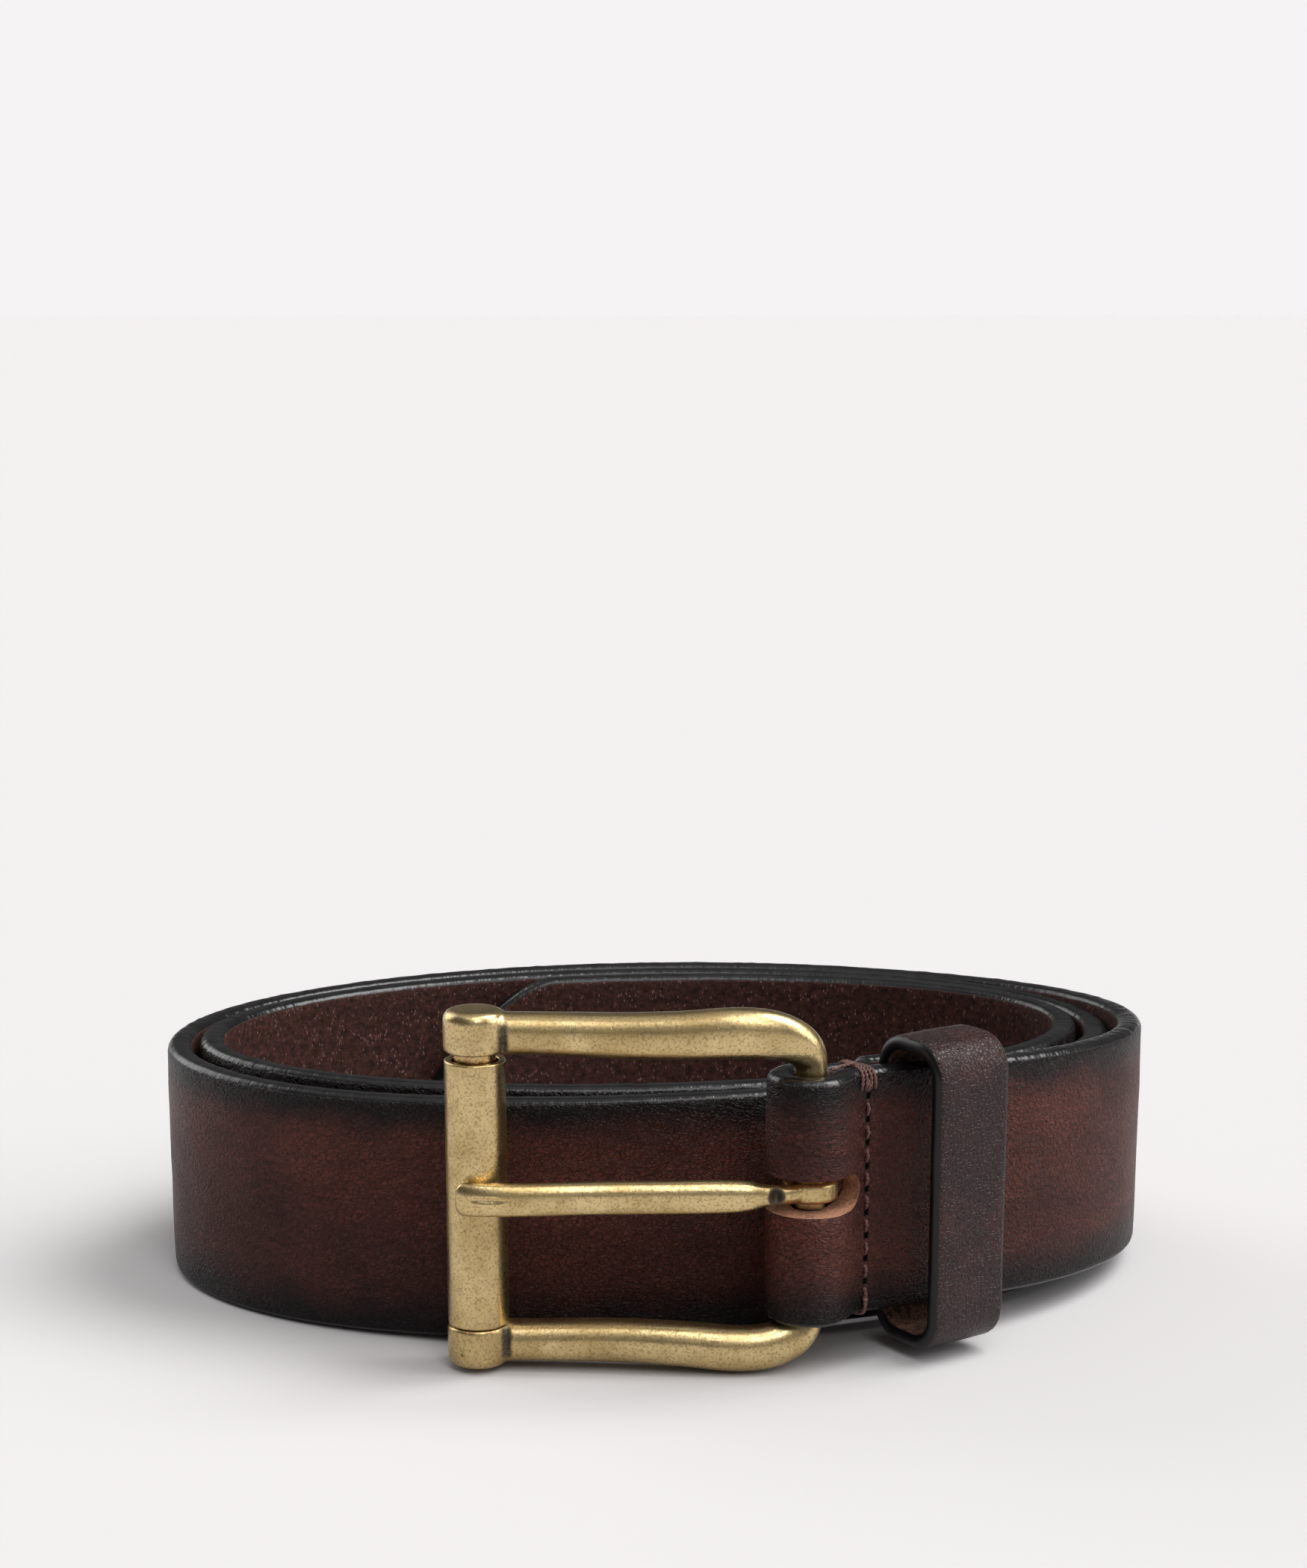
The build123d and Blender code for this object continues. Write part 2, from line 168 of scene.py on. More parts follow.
def strap_stations():
    """Plan point, bottom edge height and thickness at each station, from the turn-back to the point."""
    stations = []
    for u, v, thick in TURNBACK_ROUTE:
        stations.append((from_run(u, v).xy, run_lift(u), thick))
    for step in range(FOLD_STEPS + 1):
        angle = pi / 2 + pi * step / FOLD_STEPS
        point = from_run(FOLD_RADIUS * cos(angle), FOLD_RADIUS * sin(angle)).xy
        stations.append((point, LIFT_AT_FOLD, FOLD_THICK))
    for u, v, thick in FRONT_ROUTE:
        stations.append((from_run(u, v).xy, run_lift(u), thick))
    for step in range(1, RUN_STEPS):
        u = FRONT_ROUTE_END + (STRAIGHT_RUN - FRONT_ROUTE_END) * step / RUN_STEPS
        stations.append((from_run(u, -STRAP_THICK / 2).xy, run_lift(u), STRAP_THICK))
    for step in range(COIL_STEPS + 1):
        angle = COIL_START + (COIL_END - COIL_START) * step / COIL_STEPS
        stations.append((coil_point(angle), coil_lift(angle), STRAP_THICK))
    return stations


def catmull(a, b, c, d, t):
    """A point between b and c on a smooth curve through all four."""
    return 0.5 * (2 * b + (c - a) * t + (2 * a - 5 * b + 4 * c - d) * t * t + (3 * b - a - 3 * c + d) * t ** 3)


def smooth_route(stations, step):
    """Evenly spaced samples of the route: point, lift, thickness, distance travelled."""
    samples = []
    travelled = 0.0
    last = None
    for index in range(len(stations) - 1):
        around = [stations[min(max(index + k, 0), len(stations) - 1)] for k in (-1, 0, 1, 2)]
        length = (around[2][0] - around[1][0]).length
        pieces = max(1, ceil(length / step))
        for piece in range(pieces):
            t = piece / pieces
            point = catmull(*[s[0] for s in around], t)
            height = catmull(*[s[1] for s in around], t)
            thick = catmull(*[s[2] for s in around], t)
            if last is not None:
                travelled += (point - last).length
            samples.append((point, height, thick, travelled))
            last = point
    point, height, thick = stations[-1]
    travelled += (point - last).length
    samples.append((point, height, thick, travelled))
    return samples


# ---------------------------------------------------------------- mesh helpers
MOST_ROUND = 0.46           # largest edge rounding, as a share of the section
ROUND_STEPS = 4
TUBE_END_SIZE = sqrt(0.12)  # a thread's ends narrow to this share


def make_object(name, mesh, materials, body, replaced):
    """Puts a mesh into the scene as a piece that rides on a body and stands for plain solids."""
    piece = bpy.data.objects.new(name, mesh)
    bpy.context.scene.collection.objects.link(piece)
    for material in materials:
        mesh.materials.append(material)
    for polygon in mesh.polygons:
        polygon.use_smooth = True
    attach(piece, body)
    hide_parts(*replaced)
    return piece


def rounded_section(thick, low, high, face_rows):
    """Section of the strap, outer face first: (offset outwards, height) all the way round."""
    radius = max(0.05, min(EDGE_ROUND, MOST_ROUND * thick, MOST_ROUND * (high - low)))
    half = thick / 2
    corners = [(half, high, 0), (-half, high, 90), (-half, low, 180), (half, low, 270)]
    section = []
    for row in range(face_rows):
        share = (row + 0.5) / face_rows
        section.append((half, low + radius + (high - low - 2 * radius) * share))
    for corner_index, (n, z, first) in enumerate(corners):
        centre_n = n - radius if n > 0 else n + radius
        centre_z = z - radius if z == high else z + radius
        for k in range(ROUND_STEPS + 1):
            angle = radians(first + 90 * k / ROUND_STEPS)
            section.append((centre_n + radius * cos(angle), centre_z + radius * sin(angle)))
        if corner_index == 1:
            for row in range(face_rows):
                share = 1 - (row + 0.5) / face_rows
                section.append((-half, low + radius + (high - low - 2 * radius) * share))
    return section


def loft_rings(rings, uvs, closed=False):
    """A mesh through rings of points, with UV maps given point by point."""
    bm = bmesh.new()
    layers = {key: bm.loops.layers.uv.new(key) for key in uvs}
    verts = [[bm.verts.new(p * MM) for p in ring] for ring in rings]
    count = len(rings[0])
    spans = len(rings) if closed else len(rings) - 1
    for i in range(spans):
        j = (i + 1) % len(rings)
        for a in range(count):
            b = (a + 1) % count
            face = bm.faces.new((verts[i][a], verts[j][a], verts[j][b], verts[i][b]))
            places = ((i, a), (j, a), (j, b), (i, b))
            for loop, (ring, spot) in zip(face.loops, places):
                for key, layer in layers.items():
                    loop[layer].uv = uvs[key][ring][spot]
    if not closed:
        for ring, order in ((0, 1), (-1, -1)):
            face = bm.faces.new(verts[ring][::order])
            for loop in face.loops:
                spot = verts[ring].index(loop.vert)
                for key, layer in layers.items():
                    loop[layer].uv = uvs[key][ring][spot]
    bmesh.ops.recalc_face_normals(bm, faces=bm.faces[:])
    mesh = bpy.data.meshes.new("lofted")
    bm.to_mesh(mesh)
    bm.free()
    return mesh


def cut(piece, cutter_mesh, wall):
    """Cuts a piece with closed shapes; wall is the number of the material the cut walls get."""
    cutter = bpy.data.objects.new("cutter", cutter_mesh)
    for material in piece.data.materials:
        cutter_mesh.materials.append(material)
    for polygon in cutter_mesh.polygons:
        polygon.material_index = wall
    bpy.context.scene.collection.objects.link(cutter)
    change = piece.modifiers.new("cut", "BOOLEAN")
    change.operation = "DIFFERENCE"
    change.solver = "FAST"
    change.object = cutter
    bpy.context.view_layer.update()
    depsgraph = bpy.context.evaluated_depsgraph_get()
    result = bpy.data.meshes.new_from_object(piece.evaluated_get(depsgraph))
    piece.modifiers.clear()
    old = piece.data
    piece.data = result
    bpy.data.meshes.remove(old)
    bpy.data.objects.remove(cutter)
    bpy.data.meshes.remove(cutter_mesh)


def tube_mesh(paths, radius, sides=8):
    """Round tubes along lists of points, closed at their ends."""
    bm = bmesh.new()
    for path in paths:
        rings = []
        normal = None
        for i, point in enumerate(path):
            ahead = (path[min(i + 1, len(path) - 1)] - path[max(i - 1, 0)]).normalized()
            if normal is None:
                normal = ahead.orthogonal().normalized()
            normal = (normal - ahead * normal.dot(ahead)).normalized()
            side = ahead.cross(normal)
            size = radius * (TUBE_END_SIZE if i in (0, len(path) - 1) else 1.0)
            ring = []
            for k in range(sides):
                angle = 2 * pi * k / sides
                offset = (normal * cos(angle) + side * sin(angle)) * size
                ring.append(bm.verts.new((point + offset) * MM))
            rings.append(ring)
        for a, b in zip(rings, rings[1:]):
            for k in range(sides):
                n = (k + 1) % sides
                bm.faces.new((a[k], a[n], b[n], b[k]))
        bm.faces.new(rings[0][::-1])
        bm.faces.new(rings[-1])
    bmesh.ops.recalc_face_normals(bm, faces=bm.faces[:])
    mesh = bpy.data.meshes.new("tubes")
    bm.to_mesh(mesh)
    bm.free()
    return mesh


# ---------------------------------------------------------------- material helpers
class Shading:
    """A material being built, with short ways to add nodes."""

    def __init__(self, name):
        self.material = bpy.data.materials.new(name)
        self.material.use_nodes = True
        self.tree = self.material.node_tree
        self.shader = self.tree.nodes["Principled BSDF"]

    def node(self, kind, inputs=None, **settings):
        made = self.tree.nodes.new(kind)
        for key, value in settings.items():
            setattr(made, key, value)
        for key, value in (inputs or {}).items():
            self.feed(made.inputs[key], value)
        return made

    def feed(self, socket, value):
        if isinstance(value, bpy.types.NodeSocket):
            self.tree.links.new(value, socket)
        else:
            socket.default_value = value

    def uv(self, name):
        return self.node("ShaderNodeUVMap", uv_map=name).outputs["UV"]

    def place(self):
        return self.node("ShaderNodeTexCoord").outputs["Object"]

    def split(self, vector):
        parts = self.node("ShaderNodeSeparateXYZ", {"Vector": vector})
        return parts.outputs[0], parts.outputs[1], parts.outputs[2]

    def scaled(self, vector, scale):
        return self.node("ShaderNodeVectorMath", {0: vector, 1: scale}, operation="MULTIPLY").outputs[0]

    def math(self, operation, a, b=0.0, clamp=False):
        return self.node("ShaderNodeMath", {0: a, 1: b}, operation=operation, use_clamp=clamp).outputs[0]

    def ramp(self, value, low, high, out_low=0.0, out_high=1.0):
        inputs = {"Value": value, "From Min": low, "From Max": high, "To Min": out_low, "To Max": out_high}
        return self.node("ShaderNodeMapRange", inputs, interpolation_type="SMOOTHSTEP").outputs[0]

    def noise(self, vector, scale, detail=4.0, roughness=0.55, distortion=0.0):
        inputs = {"Vector": vector, "Scale": scale, "Detail": detail, "Roughness": roughness,
                  "Distortion": distortion}
        return self.node("ShaderNodeTexNoise", inputs).outputs["Fac"]

    def cells(self, vector, scale, feature="F1", randomness=1.0):
        inputs = {"Vector": vector, "Scale": scale, "Randomness": randomness}
        return self.node("ShaderNodeTexVoronoi", inputs, feature=feature).outputs["Distance"]

    def mix(self, factor, a, b):
        made = self.node("ShaderNodeMix", data_type="RGBA")
        self.feed(made.inputs[0], factor)
        self.feed(made.inputs[6], a)
        self.feed(made.inputs[7], b)
        return made.outputs[2]

    def blend(self, factor, a, b):
        made = self.node("ShaderNodeMix", data_type="FLOAT")
        self.feed(made.inputs[0], factor)
        self.feed(made.inputs[2], a)
        self.feed(made.inputs[3], b)
        return made.outputs[0]

    def crack(self, field, width):
        """Thin lines where a noise field crosses its middle value."""
        return self.ramp(self.math("ABSOLUTE", self.math("SUBTRACT", field, 0.5)), width, 0.0)

    def bump(self, height, distance, strength=1.0, under=None):
        inputs = {"Height": height, "Distance": distance, "Strength": strength}
        if under is not None:
            inputs["Normal"] = under
        return self.node("ShaderNodeBump", inputs).outputs["Normal"]

    def surface(self, **inputs):
        for key, value in inputs.items():
            self.feed(self.shader.inputs[key.replace("_", " ")], value)
        return self.material


def rgb(red, green, blue):
    return (red, green, blue, 1.0)


def strap_leather():
    """Burnished full-grain leather: grain side, painted edges and raw flesh side, by place on the strap."""
    s = Shading("strap_leather")
    where = s.uv("Strap")                       # metres along and across
    _, across, _ = s.split(where)
    layer, _, _ = s.split(s.uv("Side"))         # 1 on the grain side, 0 on the flesh side
    inner = s.ramp(layer, 0.10, 0.02)
    rim = s.math("MULTIPLY", s.ramp(layer, 0.985, 0.93), s.ramp(layer, 0.015, 0.06))
    wobble = s.math("MULTIPLY", s.math("SUBTRACT", s.noise(where, 120, 4), 0.5), 0.0065)
    height = s.math("ADD", across, wobble)
    low_edge = s.ramp(height, 0.0100, 0.0012)
    high_edge = s.ramp(height, 0.0298, 0.0368)
    burnish = s.math("MAXIMUM", low_edge, high_edge)

    # Grain side: warm middle, mottled, with thin dark wandering lengthwise cracks.
    blotch = s.noise(s.scaled(where, (0.5, 1.0, 1.0)), 48, 5, 0.6)
    warm = s.mix(s.ramp(blotch, 0.25, 0.75), rgb(0.046, 0.0125, 0.0088), rgb(0.108, 0.0270, 0.0168))
    fine = s.noise(where, 1500, 4, 0.65)
    warm = s.mix(s.ramp(fine, 0.42, 0.75, 0.0, 0.5), warm, rgb(0.016, 0.006, 0.005))
    grain_colour = s.mix(burnish, warm, rgb(0.0045, 0.0024, 0.0022))
    stretched = s.scaled(where, (0.28, 1.0, 1.0))
    long_cracks = s.crack(s.noise(stretched, 330, 5, 0.65, 1.1), 0.026)
    short_cracks = s.crack(s.noise(s.scaled(where, (0.6, 1.0, 1.0)), 560, 3, 0.6, 0.9), 0.045)
    patches = s.ramp(s.noise(where, 46, 3), 0.44, 0.62)
    cracks = s.math("MAXIMUM", s.math("MULTIPLY", long_cracks, patches), s.math("MULTIPLY", short_cracks, 0.6))
    creases = s.ramp(s.cells(s.scaled(where, (0.75, 1.0, 1.0)), 1500, "DISTANCE_TO_EDGE"), 0.16, 0.02)
    cracks = s.math("MAXIMUM", cracks, s.math("MULTIPLY", creases, s.ramp(fine, 0.35, 0.65, 0.25, 0.85)))
    grain_colour = s.mix(s.math("MULTIPLY", cracks, 0.7), grain_colour, rgb(0.004, 0.0025, 0.0025))

    # Flesh side: rough and dark with small pale fibres standing across the strap.
    fibres = s.cells(s.scaled(where, (1.0, 0.5, 1.0)), 1900)
    fleck = s.math("MULTIPLY", s.ramp(fibres, 0.34, 0.14), s.ramp(s.noise(where, 420, 3), 0.42, 0.58))
    nap = s.noise(where, 760, 6, 0.72)
    flesh = s.mix(s.ramp(nap, 0.32, 0.72), rgb(0.012, 0.0045, 0.0035), rgb(0.072, 0.024, 0.017))
    flesh = s.mix(s.math("MULTIPLY", fleck, 0.75), flesh, rgb(0.23, 0.120, 0.105))

    edge_tone = s.ramp(s.noise(where, 300, 3), 0.35, 0.7)
    edge_colour = s.mix(edge_tone, rgb(0.0035, 0.0035, 0.0042), rgb(0.0090, 0.0085, 0.0095))
    colour = s.mix(rim, s.mix(inner, grain_colour, flesh), edge_colour)

    pebble = s.cells(where, 2100, "SMOOTH_F1")
    grain_height = s.math("ADD", s.math("MULTIPLY", pebble, 0.8), s.math("MULTIPLY", fine, 0.5))
    grain_height = s.math("SUBTRACT", grain_height, s.math("MULTIPLY", cracks, 1.1))
    wrinkle = s.noise(stretched, 380, 4, 0.6, 0.6)
    wrinkle_depth = s.ramp(patches, 0.0, 1.0, 0.3, 1.3)
    grain_height = s.math("ADD", grain_height, s.math("MULTIPLY", wrinkle, wrinkle_depth))
    relief = s.blend(inner, grain_height, s.math("MULTIPLY", nap, 2.6))
    ripple = s.noise(s.scaled(where, (1.0, 0.2, 1.0)), 620, 3)
    relief = s.blend(rim, relief, ripple)
    gloss = s.blend(burnish, s.ramp(blotch, 0.3, 0.7, 0.47, 0.38), 0.37)
    gloss = s.math("ADD", gloss, s.math("MULTIPLY", s.math("SUBTRACT", fine, 0.5), 0.2))
    gloss = s.blend(rim, s.blend(inner, gloss, 0.75), 0.23)
    shine = s.blend(rim, 0.17, 0.42)
    normal = s.bump(relief, 0.00026, 0.9)
    return s.surface(Base_Color=colour, Roughness=gloss, Normal=normal, Specular_IOR_Level=shine)


def raw_leather():
    """Cut leather inside holes and slots: tan fibre, darkened by wax."""
    s = Shading("raw_leather")
    place = s.place()
    fibre = s.noise(place, 2600, 5, 0.7)
    patch = s.noise(place, 420, 3)
    colour = s.mix(s.ramp(fibre, 0.3, 0.7), rgb(0.24, 0.100, 0.055), rgb(0.58, 0.300, 0.180))
    colour = s.mix(s.ramp(patch, 0.45, 0.68, 0.0, 0.45), colour, rgb(0.030, 0.015, 0.010))
    return s.surface(Base_Color=colour, Roughness=0.85, Normal=s.bump(fibre, 0.0002, 0.7))


def painted_hole_shade():
    """Painted shade inside the awl holes: near-black walls."""
    s = Shading("painted_hole_shade")
    tone = s.noise(s.place(), 1500, 3)
    colour = s.mix(tone, rgb(0.004, 0.003, 0.003), rgb(0.016, 0.008, 0.007))
    return s.surface(Base_Color=colour, Roughness=0.6)


def keeper_leather():
    """Darker pebbled leather, greyer towards the bottom, with painted cut edges."""
    s = Shading("keeper_leather")
    place = s.place()
    layer, _, _ = s.split(s.uv("Side"))
    inner = s.ramp(layer, 0.12, 0.03)
    edge = s.math("MULTIPLY", s.ramp(layer, 0.03, 0.10), s.ramp(layer, 0.985, 0.91))
    _, _, height = s.split(place)
    blotch = s.noise(place, 130, 4)
    base = s.mix(s.ramp(blotch, 0.35, 0.7), rgb(0.019, 0.0056, 0.0054), rgb(0.046, 0.0125, 0.0108))
    fine = s.noise(place, 1500, 4, 0.65)
    base = s.mix(s.ramp(fine, 0.42, 0.72, 0.0, 0.6), base, rgb(0.010, 0.0045, 0.0045))
    # Greyer towards the bottom.
    base = s.mix(s.ramp(height, 0.019, 0.007, 0.0, 0.45), base, rgb(0.026, 0.016, 0.017))
    suede = s.mix(s.ramp(s.noise(place, 900, 5), 0.3, 0.7), rgb(0.035, 0.014, 0.008), rgb(0.16, 0.070, 0.040))
    colour = s.mix(edge, s.mix(inner, base, suede), rgb(0.0045, 0.0040, 0.0045))
    creases = s.ramp(s.cells(place, 1700, "DISTANCE_TO_EDGE"), 0.18, 0.02)
    crease_tone = s.math("MULTIPLY", creases, s.ramp(fine, 0.3, 0.6, 0.2, 0.7))
    colour = s.mix(crease_tone, colour, rgb(0.004, 0.0025, 0.0025))
    pebble = s.cells(place, 1500, "SMOOTH_F1")
    relief = s.math("ADD", s.math("MULTIPLY", pebble, 1.1), s.math("MULTIPLY", fine, 0.7))
    relief = s.math("SUBTRACT", relief, s.math("MULTIPLY", creases, 0.7))
    relief = s.blend(edge, relief, 0.5)
    gloss = s.ramp(blotch, 0.3, 0.7, 0.36, 0.29)
    gloss = s.blend(edge, s.blend(inner, gloss, 0.9), 0.30)
    normal = s.bump(relief, 0.00020, 0.7)
    return s.surface(Base_Color=colour, Roughness=gloss, Normal=normal, Specular_IOR_Level=0.30)


def thread():
    """Waxed twisted thread."""
    s = Shading("thread")
    place = s.place()
    fuzz = s.noise(place, 2400, 4, 0.7)
    tone = s.noise(place, 300, 2)
    colour = s.mix(s.ramp(fuzz, 0.3, 0.7), rgb(0.040, 0.014, 0.012), rgb(0.165, 0.070, 0.056))
    colour = s.mix(s.ramp(tone, 0.4, 0.65, 0.0, 0.4), colour, rgb(0.075, 0.030, 0.024))
    return s.surface(Base_Color=colour, Roughness=0.55, Normal=s.bump(fuzz, 0.00008, 0.6))


def brass(name, light, dark, roughness):
    """Antiqued satin brass: fine speckle, faint casting texture, dark patina in the corner grooves and painted
    shade in the prong's pit.
    """
    s = Shading(name)
    place = s.place()
    cloud = s.noise(place, 150, 5, 0.6)
    speckle = s.noise(place, 2600, 3, 0.7)
    pits = s.cells(place, 950)
    base = s.mix(s.ramp(cloud, 0.36, 0.68), light, dark)
    base = s.mix(s.ramp(speckle, 0.48, 0.64, 0.0, 0.65), base, rgb(0.24, 0.17, 0.075))
    pit_mask = s.math("MULTIPLY", s.ramp(pits, 0.16, 0.05), s.ramp(cloud, 0.45, 0.6))
    base = s.mix(s.math("MULTIPLY", pit_mask, 0.7), base, rgb(0.14, 0.105, 0.06))

    # Patina lies in the two grooves between the bosses and the arms.
    x, _, z = s.split(place)
    groove_x = (HEEL.x - BAR_SPACING + GROOVE_FROM_PIN) * MM
    near_x = s.ramp(s.math("ABSOLUTE", s.math("SUBTRACT", x, groove_x)), 0.0011, 0.0004)
    off_middle = s.math("ABSOLUTE", s.math("SUBTRACT", z, BUCKLE_Z * MM))
    near_z = s.ramp(s.math("ABSOLUTE", s.math("SUBTRACT", off_middle, PATINA_HEIGHT * MM)), 0.0030, 0.0018)
    patina_and_pit_shade = s.math("MULTIPLY", s.math("MULTIPLY", near_x, near_z), s.ramp(speckle, 0.25, 0.5, 0.6, 1.0))
    base = s.mix(s.math("MULTIPLY", patina_and_pit_shade, 0.85), base, rgb(0.060, 0.055, 0.050))

    # Painted shade darkens the small pit in the prong's neck.
    pit = ((HEEL.x - PIT_BEFORE_HEEL) * MM, (HEEL.y - 4.6) * MM, BUCKLE_Z * MM)
    from_pit = s.node("ShaderNodeVectorMath", {0: place, 1: pit}, operation="DISTANCE").outputs["Value"]
    pit_shade = s.ramp(from_pit, 0.00165, 0.00120)
    base = s.mix(s.math("MULTIPLY", pit_shade, 0.9), base, rgb(0.055, 0.052, 0.050))
    # The pit's painted shade joins the groove patina in the roughness below.
    patina_and_pit_shade = s.math("MAXIMUM", patina_and_pit_shade, pit_shade)

    rough = s.math("ADD", s.ramp(cloud, 0.3, 0.7, roughness - 0.05, roughness + 0.07),
                   s.math("MULTIPLY", s.math("SUBTRACT", speckle, 0.5), 0.24))
    rough = s.math("ADD", rough, s.math("MULTIPLY", patina_and_pit_shade, 0.3))
    relief = s.math("SUBTRACT", s.math("MULTIPLY", s.noise(place, 700, 4), 0.8), pit_mask)
    relief = s.math("ADD", relief, s.math("MULTIPLY", speckle, 0.5))
    normal = s.bump(relief, 0.00006, 0.7)
    return s.surface(Base_Color=base, Metallic=1.0, Roughness=rough, Normal=normal)


def steel():
    """Plain wire, lightly scratched."""
    s = Shading("staple_wire")
    place = s.place()
    scratch = s.noise(s.scaled(place, (1.0, 1.0, 0.1)), 1800, 3)
    colour = s.mix(scratch, rgb(0.42, 0.42, 0.43), rgb(0.62, 0.62, 0.63))
    rough = s.ramp(scratch, 0.3, 0.7, 0.28, 0.42)
    return s.surface(Base_Color=colour, Metallic=1.0, Roughness=rough)


# ---------------------------------------------------------------- strap
TIP_CURVE = 1.55
TIP_FULLNESS = 0.86
ROUTE_STEP = 1.3
STRAP_ROWS = 9
CROWN = 0.16                # the grain side is a little higher along its middle
UNEVEN = 0.10               # waviness of the faces
EDGE_RIPPLE = 0.10          # waviness along the top edge


def tip_half_width(before_end):
    """Half the strap's width at a distance from its point."""
    if before_end >= TIP_LENGTH:
        return STRAP_WIDTH / 2
    share = before_end / TIP_LENGTH
    return STRAP_WIDTH / 2 * (1 - (1 - share) ** TIP_CURVE) ** TIP_FULLNESS


def strap_mesh():
    """The whole strap as one swept form, from the turn-back's end to the point."""
    samples = smooth_route(strap_stations(), ROUTE_STEP)
    total = samples[-1][3]
    rings = []
    strap_uv = []
    side_uv = []
    for index, (point, bottom, thick, travelled) in enumerate(samples):
        before = samples[max(index - 1, 0)][0]
        after = samples[min(index + 1, len(samples) - 1)][0]
        ahead = (after - before).normalized()
        outward = Vector((ahead.y, -ahead.x))
        half_width = max(0.7, tip_half_width(total - travelled))
        middle = STRAP_WIDTH / 2
        section = rounded_section(thick, middle - half_width, middle + half_width, STRAP_ROWS)
        ring = []
        for offset, height in section:
            share = height / STRAP_WIDTH
            spread = offset
            if offset > 0:
                spread = offset + CROWN * (1 - (2 * share - 1) ** 4) - CROWN
            if abs(share - 0.5) < 0.47:
                layer = 3.7 if offset > 0 else 9.1
                spread += UNEVEN * noise.noise(Vector((travelled * 0.11, height * 0.16, layer)))
            rise = 0.0
            if share > 0.96:
                rise = EDGE_RIPPLE * noise.noise(Vector((travelled * 0.75, offset * 0.5, 1.7)))
            place = point + outward * spread
            ring.append(Vector((place.x, place.y, bottom + height + rise)))
        rings.append(ring)
        strap_uv.append([(travelled * MM, height * MM) for _, height in section])
        side_uv.append([(offset / thick + 0.5, 0.0) for offset, _ in section])
    return loft_rings(rings, {"Strap": strap_uv, "Side": side_uv})


def slot_and_hole_cutters():
    """The prong's slot through the fold, and the adjustment holes."""
    bm = bmesh.new()
    straight = SLOT_END - SLOT_HEIGHT / 2
    outline = [(-12.0, SLOT_HEIGHT / 2), (-12.0, -SLOT_HEIGHT / 2)]
    for k in range(13):
        angle = radians(-90 + 180 * k / 12)
        outline.append((straight + SLOT_HEIGHT / 2 * cos(angle), SLOT_HEIGHT / 2 * sin(angle)))
    front = [bm.verts.new(from_run(u, -12.0, BUCKLE_Z + z) * MM) for u, z in outline]
    back = [bm.verts.new(from_run(u, 7.2, BUCKLE_Z + z) * MM) for u, z in outline]
    close_prism(bm, front, back)
    travelled = 0.0
    angle = COIL_END
    step = radians(0.25)
    wanted = [FIRST_HOLE_FROM_TIP + k * HOLE_PITCH for k in range(HOLE_COUNT)]
    while wanted:
        travelled += (coil_point(angle) - coil_point(angle - step)).length
        angle -= step
        if travelled >= wanted[0]:
            wanted.pop(0)
            add_hole(bm, angle)
    bmesh.ops.recalc_face_normals(bm, faces=bm.faces[:])
    mesh = bpy.data.meshes.new("cutters")
    bm.to_mesh(mesh)
    bm.free()
    return mesh


def close_prism(bm, front, back):
    """Faces of a closed prism between two outlines."""
    bm.faces.new(front)
    bm.faces.new(back[::-1])
    for k in range(len(front)):
        n = (k + 1) % len(front)
        bm.faces.new((front[k], front[n], back[n], back[k]))


def add_hole(bm, angle):
    """One round hole through the strap."""
    point = coil_point(angle)
    ahead = (coil_point(angle + 0.001) - coil_point(angle - 0.001)).normalized()
    outward = Vector((ahead.y, -ahead.x, 0))
    along = Vector((ahead.x, ahead.y, 0))
    centre = Vector((point.x, point.y, coil_lift(angle) + STRAP_WIDTH / 2))
    reach = STRAP_THICK / 2 + 0.3
    sides = []
    for offset in (reach, -reach):
        ring = []
        for k in range(24):
            turn = 2 * pi * k / 24
            spot = along * (HOLE_RADIUS * cos(turn)) + Vector((0, 0, HOLE_RADIUS * sin(turn)))
            ring.append(bm.verts.new((centre + spot + outward * offset) * MM))
        sides.append(ring)
    close_prism(bm, sides[0], sides[1])


def stitch_heights(distance):
    """Heights of the stitches in one row."""
    first = run_lift(distance) + (STRAP_WIDTH - (STITCH_COUNT - 1) * STITCH_PITCH) / 2
    return [first + k * STITCH_PITCH for k in range(STITCH_COUNT)]


def awl_cutters():
    """Awl holes at the foot of every stitch, front and back."""
    bm = bmesh.new()
    for row in (ROW_NEAR, ROW_FAR):
        for z in stitch_heights(row):
            for face, depth in ((-STRAP_THICK, 0.8), (TURNBACK_THICK, -0.8)):
                low = z - 1.75
                outline = [(-0.42, 0.0), (0.42, 0.12), (0.42, 1.15), (-0.42, 1.0)]
                near = [bm.verts.new(from_run(row + u, face - depth, low + dz) * MM) for u, dz in outline]
                far = [bm.verts.new(from_run(row + u, face + depth, low + dz) * MM) for u, dz in outline]
                close_prism(bm, near, far)
    bmesh.ops.recalc_face_normals(bm, faces=bm.faces[:])
    mesh = bpy.data.meshes.new("awl_holes")
    bm.to_mesh(mesh)
    bm.free()
    return mesh


# ---------------------------------------------------------------- thread
TURNS_PER_MM = 0.75


